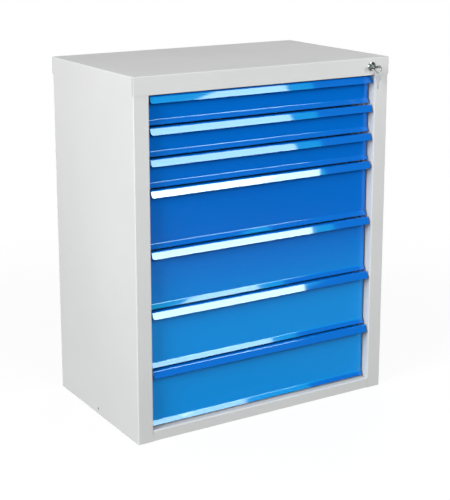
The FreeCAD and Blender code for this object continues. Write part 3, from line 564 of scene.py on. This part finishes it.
# %% The graph of one finish
class Paint:
    """One material: its nodes are added one by one and end in its surface shader."""

    def __init__(self, name, **constants):
        self.material = bpy.data.materials.new(name)
        self.material.use_nodes = True
        self.tree = self.material.node_tree
        self.shader = self.tree.nodes["Principled BSDF"]
        self.put(self.shader, constants)
        self.place = self.node("ShaderNodeTexCoord", output="Object")

    def put(self, node, sockets):
        for key, value in sockets.items():
            socket = node.inputs[key.replace("_", " ") if isinstance(key, str) else key]
            if isinstance(value, Value):
                self.tree.links.new(value.socket, socket)
            else:
                socket.default_value = value

    def node(self, kind, settings=None, sockets=None, output=0):
        made = self.tree.nodes.new(kind)
        for key, value in (settings or {}).items():
            if key == "stops":
                ramp = made.color_ramp.elements
                ramp[0].position, ramp[1].position = value[0][0], value[-1][0]
                for position, _ in value[1:-1]:
                    ramp.new(position)
                for stop, (_, shade) in zip(ramp, value):
                    stop.color = (shade, shade, shade, 1)
            else:
                setattr(made, key, value)
        self.put(made, sockets or {})
        return Value(self, made.outputs[output])

    def noise(self, scale, detail=2.0, stretch=(1, 1, 1), roughness=0.5):
        """Soft noise with about scale humps a metre, drawn out along an axis by a small stretch."""
        at = self.node("ShaderNodeMapping", None, {"Vector": self.place, "Scale": stretch})
        return self.node("ShaderNodeTexNoise", None,
                         {"Vector": at, "Scale": scale, "Detail": detail, "Roughness": roughness})

    def steps(self, value, *stops):
        """The value passed through a ramp of (position, brightness) stops."""
        return self.node("ShaderNodeValToRGB", {"stops": stops}, {"Fac": value})

    def swell(self, value, start, end, first=0.0, last=1.0):
        """A soft step from first to last while the value goes from start to end."""
        limits = {"From Min": start, "From Max": end, "To Min": first, "To Max": last}
        return self.node("ShaderNodeMapRange", {"interpolation_type": "SMOOTHSTEP"},
                         {"Value": value, **limits})

    def part_of(self, vector, axis):
        """One of the three parts of a place or direction."""
        return self.node("ShaderNodeSeparateXYZ", None, {"Vector": vector}, output=axis)

    def rays(self, *kinds):
        """1 for a ray of one of these kinds, and 0 for any other."""
        path = self.tree.nodes.new("ShaderNodeLightPath")
        first, *others = (Value(self, path.outputs["Is %s Ray" % kind]) for kind in kinds)
        return sum(others, first)

    def blend(self, mask, first, second):
        """A colour between two, by a mask."""
        return self.node("ShaderNodeMix", {"data_type": "RGBA"},
                         {0: mask, 6: first, 7: second}, output=2)

    def bump(self, height, distance, strength=1.0, under=None):
        sockets = {"Height": height, "Distance": distance, "Strength": strength}
        if under is not None:
            sockets["Normal"] = under
        return self.node("ShaderNodeBump", None, sockets)

    def finish(self, **varying):
        self.put(self.shader, varying)
        return self.material


def rgb(red, green, blue):
    """A screen colour of 0 to 255 as the linear colour that shaders use."""
    c = np.array([red, green, blue]) / 255
    linear = np.where(c <= 0.04045, c / 12.92, ((c + 0.055) / 1.055) ** 2.4)
    return (*linear.tolist(), 1.0)


def darker(colour, share):
    """The colour made darker, to a share of its brightness."""
    return (*(c * share for c in colour[:3]), 1.0)


# %% [markdown]
# ## Powder coat
#
# The casing is powder-coated: a satin film with a fine orange peel a couple of millimetres across. Its
# colour drifts a little from one spot to the next, and dust and handling leave faint duller patches.
# Two layers of noise bump the surface, one for the peel and a slower one for the sheet's slight waves.

# %% Grey powder coat of the casing and the trays
def powder_coat(name, colour, dull, peel=0.012, **constants):
    paint = Paint(name, **constants)
    drift = paint.noise(3.0, 3.0)
    patches = paint.noise(14.0, 4.0)
    colour_here = paint.blend(paint.steps(drift, (0.35, 0.0), (0.65, 1.0)), darker(colour, 0.955), colour)
    specks = paint.steps(paint.noise(900.0, 1.0), (0.70, 0.0), (0.80, 0.35))
    colour_here = paint.blend(specks, colour_here, darker(colour, 0.9))
    rough = patches * 0.10 + (dull - 0.05)
    waves = paint.bump(paint.noise(7.0, 1.0), 0.0006, 0.25)
    skin = paint.bump(paint.noise(420.0, 2.0), peel * MM, 0.6, under=waves)
    return paint.finish(Base_Color=colour_here, Roughness=rough, Normal=skin)


casing_paint = powder_coat("casing_powder_coat", rgb(209, 210, 209), 0.45, Specular_IOR_Level=0.35)
tray_paint = powder_coat("tray_powder_coat", rgb(196, 199, 200), 0.5, Specular_IOR_Level=0.4)
print("powder coats:", casing_paint.name, tray_paint.name)

# %% [markdown]
# The fronts have a gloss enamel in a strong blue. It is smoother than the casing, so it mirrors the
# studio lamps as clean bright bands on the lips and strips, in a slightly green-blue tint. Its peel is
# longer and lower, which only makes the edges of those bands waver a little. The flat faces of the
# lower fronts are painted a shade paler, which is a painted reflection of the pale floor they face.

# %% Blue gloss enamel of the fronts
def gloss_enamel(name, colour, floor_reflection_and_drift_blue):
    """A blue with a painted reflection: paler towards the floor on the flat faces alone, which lie furthest
    back.
    """
    paint = Paint(name, Specular_IOR_Level=0.875, Specular_Tint=(0.60, 0.73, 0.75, 1.0))
    # Painted reflection: this mask pales the flat faces of the lower fronts as if they mirrored the pale
    # floor, and a small share of noise drifts the blue at random.
    low = paint.swell(paint.part_of(paint.place, "Z"), 0.20, 0.45, 1.0, 0.0)
    broad = paint.swell(paint.part_of(paint.place, "Y"), -0.1805, -0.1788)
    colour_here = paint.blend(low * broad * 0.85 + paint.noise(2.5, 2.0) * 0.15, colour, floor_reflection_and_drift_blue)
    rough = paint.noise(30.0, 3.0) * 0.02 + 0.025
    waves = paint.bump(paint.noise(9.0, 1.0), 0.0003, 0.2)
    skin = paint.bump(paint.noise(260.0, 1.0), 0.002 * MM, 0.4, under=waves)
    return paint.finish(Base_Color=colour_here, Roughness=rough, Normal=skin)


front_paint = gloss_enamel("front_gloss_enamel", (0.0, 0.132, 0.57, 1.0), (0.0, 0.272, 0.73, 1.0))
print("enamel:", front_paint.name)

# %% [markdown]
# ## Metals and nylon
#
# The slides are galvanised: cold-rolled strip with soft spangles and lines along its length. The lock
# is chromed, the keys are nickel-plated with the long scratches of a pocket, and the ring is hardened
# wire. Every metal shows its scratches as bands of roughness, because that is how the eye reads them.
# The spare key's plating is dull and pale; the key in the lock gets a darker copy of it, painted shade for
# the shadow that its bow lies in.

# %% Metals
def metal(name, colour, rough, lines, stretch, spangle=0.0, depth=0.004, metallic=1.0):
    paint = Paint(name, Metallic=metallic)
    grain = paint.noise(lines, 3.0, stretch, 0.65)
    colour_here = paint.blend(grain, darker(colour, 0.82), colour)
    if spangle:
        flakes = paint.node("ShaderNodeTexVoronoi", None, {"Vector": paint.place, "Scale": 160.0},
                            output="Color")
        grey = paint.node("ShaderNodeRGBToBW", None, {"Color": flakes})
        colour_here = paint.blend(grey * spangle, colour_here, darker(colour, 0.7))
        rough_here = grain * 0.12 + grey * 0.12 + (rough - 0.1)
    else:
        rough_here = grain * 0.16 + (rough - 0.08)
    skin = paint.bump(grain, depth * MM, 0.5)
    return paint.finish(Base_Color=colour_here, Roughness=rough_here, Normal=skin)


zinc = metal("galvanised_strip", rgb(190, 193, 196), 0.38, 300.0, (1, 0.04, 1), spangle=0.5)
chrome = metal("lock_chrome", rgb(225, 226, 228), 0.14, 900.0, (1, 1, 1))
nickel = metal("nickel_plate", rgb(206, 205, 199), 0.42, 1400.0, (1, 0.15, 0.3), metallic=0.25)
# A darker copy of the nickel plate for the key in the lock: its colour is painted shade.
shaded_key_nickel = metal("shaded_key_nickel_plate", rgb(150, 148, 143), 0.28, 1400.0, (0.3, 1, 0.15))
ring_steel = metal("ring_wire_steel", rgb(200, 201, 203), 0.2, 1200.0, (1, 1, 1))

# %% Nylon of the lock bar's guides
nylon_paint = Paint("guide_nylon", Subsurface_Weight=0.15, Subsurface_Scale=0.002)
cloudy = nylon_paint.blend(nylon_paint.noise(120.0, 3.0), rgb(206, 204, 192), rgb(222, 220, 210))
nylon_skin = nylon_paint.bump(nylon_paint.noise(1500.0, 2.0), 0.01 * MM, 0.4)
nylon = nylon_paint.finish(Base_Color=cloudy, Roughness=nylon_paint.noise(90.0, 2.0) * 0.15 + 0.4,
                           Normal=nylon_skin)

# %% Every part gets its finish
by_slot = {"grey_paint": casing_paint, "blue_paint": front_paint, "tray_paint": tray_paint,
           "zinc_steel": zinc, "chrome": chrome, "nickel_key": nickel, "ring_wire": ring_steel,
           "nylon": nylon}
for node in nodes.values():
    for place in node.material_slots:
        place.material = by_slot[place.material.name.split(".")[0]]
# The key in the lock takes the darker copy of the nickel plate, whose colour is painted shade.
for piece in [*fronts.values(), rivets, lock_face, split_ring, lock_key, spare]:
    piece.data.materials.append(shaded_key_nickel if piece is lock_key else by_slot[piece["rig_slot"]])
print("finishes in use:", sorted({s.material.name for n in nodes.values() for s in n.material_slots}))

# %% [markdown]
# ## Floor, light and camera
#
# The photograph is a studio shot on white. The floor is a large sheet that is white to the camera, but
# for a faint share near the cabinet that keeps its shadow. The sky is white to the camera and to
# mirrors that look at the backdrop, and dim in front of the cabinet, where a studio is a dark room.
#
# Two softboxes stand at the right front, where the lips and strips mirror the camera's line of sight:
# a dim upper one for the upper lips, and below it a bright one, whose middle row is dim again for the
# lowest strip. A green-blue lamp around both gives their bands a coloured rim. The one at the left
# lights the casing's side. Two more lamps, in front and behind, only fill the shadows, and the paint
# doesn't mirror them.

# %% The floor
def floor_finish():
    """Paper that lights the cabinet as a grey floor, darker further off, and is white to the camera.

    The camera sees glowing white, with a share of lit paper that fades out away from the cabinet."""
    paint = Paint("studio_floor", Specular_IOR_Level=0.1, Roughness=0.8)
    away = paint.node("ShaderNodeVectorMath", {"operation": "LENGTH"}, {0: paint.place}, output="Value")
    near = paint.swell(away, 1.0, 2.4, 1.0, 0.0)
    shadowed = paint.swell(away, 0.6, 1.7, 0.12, 0.0)
    seen = paint.rays("Camera")
    paper = paint.blend(near, rgb(60, 62, 64), rgb(125, 126, 128))
    paint.finish(Base_Color=paint.blend(seen, paper, rgb(250, 250, 250)))
    white = paint.node("ShaderNodeEmission", None, {"Color": (1, 1, 1, 1), "Strength": 1.0})
    lit_paper = Value(paint, paint.shader.outputs[0])
    mixed = paint.node("ShaderNodeMixShader", None, {0: seen * (1 - shadowed), 1: lit_paper, 2: white})
    paint.put(paint.tree.nodes["Material Output"], {"Surface": mixed})
    return paint.material


FLOOR_HALF = 30.0
floor_mesh = bpy.data.meshes.new("studio_floor")
floor_mesh.from_pydata([(x * FLOOR_HALF, y * FLOOR_HALF, 0) for x, y in ((-1, -1), (1, -1), (1, 1), (-1, 1))],
                       [], [(0, 1, 2, 3)])
floor = bpy.data.objects.new("studio_floor", floor_mesh)
floor_mesh.materials.append(floor_finish())
bpy.context.scene.collection.objects.link(floor)
floor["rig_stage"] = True

# %% A white backdrop behind the cabinet and a dim room in front of it
class Sky(Paint):
    """The world's nodes, added in the same way as a finish."""

    def __init__(self, name):
        self.material = bpy.data.worlds.new(name)
        self.material.use_nodes = True
        self.tree = self.material.node_tree
        self.shader = self.tree.nodes["Background"]


ROOM_LIGHT, BACKDROP_LIGHT, ROOM_MIRRORED = 0.14, 0.28, 0.12
sky = Sky("studio_sky")
toward = sky.node("ShaderNodeTexCoord", output="Generated")
behind = sky.swell(sky.part_of(toward, "Y"), -0.35, 0.25)
camera_rays = sky.rays("Camera")
mirror_rays = sky.rays("Glossy", "Transmission")
lit = behind * (BACKDROP_LIGHT - ROOM_LIGHT) + ROOM_LIGHT
mirrored = behind * (1 - ROOM_MIRRORED) + ROOM_MIRRORED
level = camera_rays + (1 - camera_rays) * (mirror_rays * mirrored + (1 - mirror_rays) * lit)
sky.finish(Strength=level, Color=(1, 1, 1, 1))
bpy.context.scene.world = sky.material


# %% Softboxes
def softbox(name, centre, aim, width, height, radiance, roll=0.0, shift=(0.0, 0.0)):
    """A flat lamp whose surface has the given brightness: its power is brightness x area x pi.

    A shift moves it in its own plane, to the side and up, after it has been aimed."""
    lamp = bpy.data.lights.new(name, "AREA")
    lamp.shape = "RECTANGLE"
    lamp.size, lamp.size_y = width, height
    lamp.energy = radiance * width * height * math.pi
    box = bpy.data.objects.new(name, lamp)
    turned = ((Vector(aim) - Vector(centre)).to_track_quat("-Z", "Y")
              @ Quaternion((0, 0, 1), math.radians(roll)))
    box.location = Vector(centre) + turned @ Vector((*shift, 0.0))
    box.rotation_euler = turned.to_euler()
    bpy.context.scene.collection.objects.link(box)
    return box


softbox("upper_softbox", (1.1125, -1.9332, 1.8676), (0.0273, -0.1965, 0.4336), 0.65, 0.42, 9.0)

# The rows of the lower box: its sides and its foot and top from the middle, in metres, and the brightness.
LOWER_BOX, LOWER_AIM, LOWER_ROLL = (1.1753, -2.1794, 1.5218), (0.0901, -0.4427, 0.0879), -17.7
LOWER_ROWS = [(-0.415, 0.415, -0.323, 0.110, 16.8),
              (-0.105, 0.185, 0.110, 0.250, 8.0),
              (-0.415, 0.415, 0.250, 0.323, 16.5)]
for row, (left, right, foot, top, radiance) in enumerate(LOWER_ROWS, 1):
    softbox("lower_softbox_%d" % row, LOWER_BOX, LOWER_AIM, right - left, top - foot, radiance,
            LOWER_ROLL, ((left + right) / 2, (foot + top) / 2))

rim = softbox("softbox_rim", (1.2219, -2.0517, 1.7283), (0.1367, -0.3150, 0.2944), 0.81, 1.05, 2.8)
rim.data.color = (0.05, 1.0, 0.8)
rim.visible_diffuse = False
softbox("side_softbox", (-3.0, -1.0, 1.50), (-0.33, -0.05, 0.45), 1.6, 1.6, 14.5)
for filler in (softbox("fill_softbox", (-0.4, -3.2, 1.6), (0.0, -0.2, 0.4), 1.2, 1.2, 6.1),
               softbox("rear_softbox", (2.6, 3.0, 1.1), (0.1, 0.2, 0.4), 2.2, 2.0, 7.0)):
    filler.visible_glossy = False

# %% The camera of the photograph
FOCAL_PIXELS, IMAGE_HEIGHT, SENSOR = 1234.72, 500, 36.0
camera_data = bpy.data.cameras.new("photo_camera")
camera_data.sensor_fit = "AUTO"
camera_data.sensor_width = SENSOR
camera_data.lens = FOCAL_PIXELS / IMAGE_HEIGHT * SENSOR
camera_data.shift_y = -0.15
camera = bpy.data.objects.new("photo_camera", camera_data)
camera.location = (-1.46530, -2.40426, 1.14675)
turn, down = math.radians(31.567), math.radians(12.511)
look = Vector((math.sin(turn) * math.cos(down), math.cos(turn) * math.cos(down), -math.sin(down)))
camera.rotation_euler = look.to_track_quat("-Z", "Y").to_euler()
bpy.context.scene.collection.objects.link(camera)
bpy.context.scene.camera = camera
bpy.context.scene.view_settings.view_transform = "Standard"

# %% The box of the dressed cabinet
low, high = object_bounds()
print("dressed box in metres:", [round(v, 4) for v in low], [round(v, 4) for v in high])
